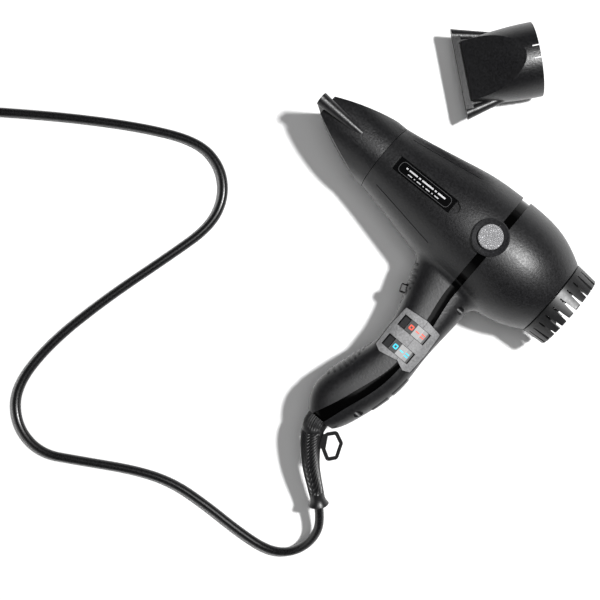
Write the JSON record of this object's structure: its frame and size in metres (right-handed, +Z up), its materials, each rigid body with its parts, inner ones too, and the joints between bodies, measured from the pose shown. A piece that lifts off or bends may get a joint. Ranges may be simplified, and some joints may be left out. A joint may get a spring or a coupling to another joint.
{
  "type": "hair dryer",
  "caption": "Pistol-grip hair dryer lying on its side, with fan, heater, rocker switches, cold shot button, turning nozzle, intake cap, spare nozzle and a long cord.",
  "frame": {"origin": "middle of the flat face of the lower side cap, on which the barrel rests", "axes": "+X along the barrel axis towards the air intake, -Y along the handle, +Z up, out of the side with the switches"},
  "size_m": [0.532, 0.467, 0.088],
  "materials": {
    "casing": "fine soft-touch grain",
    "nozzle_plastic": "fine grain",
    "trim_gloss": "polished",
    "boss_ring": "fine grain",
    "boss_cap": "coarse pebbled silver grey",
    "label": "polished",
    "panel": "fine grain",
    "rocker": "satin",
    "inner_plastic": "plain",
    "button": "satin",
    "spring_steel": "drawn wire",
    "screw_steel": "blackened",
    "relief": "satin",
    "cap_gloss": "satin gloss",
    "mesh_steel": "woven",
    "grille_metal": "black",
    "mica": "pressed mica",
    "heater_wire": "wound",
    "brass": "plain",
    "fuse_metal": "plain",
    "motor_steel": "zinc plated",
    "magnet": "sintered",
    "armature_iron": "laminated",
    "copper": "turned",
    "carbon": "pressed carbon",
    "fan_plastic": "plain",
    "board": "solder mask",
    "capacitor": "plain",
    "chip": "plain",
    "cord": "smooth satin",
    "lead": "smooth",
    "tie": "woven strap",
    "plug": "satin",
    "blade": "plain"
  },
  "bodies": {
    "root": {"barrel_band": "trim_gloss", "capacitor": "capacitor", "casing_screws": "screw_steel", "circuit_board": "board", "clamp_screws": "screw_steel", "coil_tie": "tie", "cold_shot_spring": "spring_steel", "cold_shot_switch": "inner_plastic", "cord_clamp": "inner_plastic", "cord_coil": "cord", "cord_end": "cord", "cord_tail": "cord", "cord_tube": "cord", "fan_housing": "inner_plastic", "front_bearing": "brass", "front_shell": "casing", "hang_ring": "relief", "heating_coils": "heater_wire", "intake_guard": "inner_plastic", "ion_emitter": "inner_plastic", "ion_generator": "inner_plastic", "label_plate": "label", "lead_wires": "lead", "left_boss_cap": "boss_cap", "left_boss_ring": "boss_ring", "left_trim_lower": "trim_gloss", "left_trim_upper": "trim_gloss", "mica_cross": "mica", "mica_sleeve": "mica", "motor_brushes": "carbon", "motor_can": "motor_steel", "motor_magnets": "magnet", "outlet_grille": "grille_metal", "plug_blades": "blade", "plug_body": "plug", "rear_bearing": "brass", "rear_shell": "casing", "rectifiers": "chip", "right_boss_cap": "boss_cap", "right_boss_ring": "boss_ring", "right_trim": "trim_gloss", "strain_relief": "relief", "switch_housings": "inner_plastic", "switch_panel_front": "panel", "switch_panel_rear": "panel", "thermal_fuse": "fuse_metal", "thermostat": "brass"},
    "nozzle": {"nozzle": "nozzle_plastic"},
    "intake_cap": {"filter_cap": "cap_gloss", "filter_mesh": "mesh_steel"},
    "rotor": {"fan": "fan_plastic", "motor_shaft": "motor_steel", "armature": "armature_iron", "commutator": "copper"},
    "heat_rocker": {"heat_rocker": "rocker"},
    "speed_rocker": {"speed_rocker": "rocker"},
    "cold_shot_button": {"cold_shot_button": "button"},
    "spare_nozzle": {"spare_nozzle": "nozzle_plastic"}
  },
  "joints": [
    {"name": "nozzle_turn", "type": "hinge", "parent": "root", "child": "nozzle", "pos_m": [-0.1, 0, 0.044], "axis": [1, 0, 0], "continuous": true},
    {"name": "fan_spin", "type": "hinge", "parent": "root", "child": "rotor", "pos_m": [0, 0, 0.044], "axis": [1, 0, 0], "continuous": true},
    {"name": "intake_cap_turn", "type": "hinge", "parent": "root", "child": "intake_cap", "pos_m": [0.06, 0, 0.044], "axis": [1, 0, 0], "range_deg": [0, 25]},
    {"name": "heat_rocker_tilt", "type": "hinge", "parent": "root", "child": "heat_rocker", "pos_m": [0.0008, -0.0791, 0.056], "axis": [0, 1, 0], "range_deg": [0, 22]},
    {"name": "speed_rocker_tilt", "type": "hinge", "parent": "root", "child": "speed_rocker", "pos_m": [0.0008, -0.096, 0.056], "axis": [0, 1, 0], "range_deg": [0, 22]},
    {"name": "cold_shot_press", "type": "slide", "parent": "root", "child": "cold_shot_button", "axis": [0.9397, 0.342, 0], "range_m": [0, 0.002], "stiffness_N_per_m": 400, "springref_m": -0.001, "deforming": ["cold_shot_spring"]},
    {"name": "spare_nozzle_lift", "type": "slide", "parent": "root", "child": "spare_nozzle", "axis": [0, 0, 1], "range_m": [0, 0.06]}
  ]
}
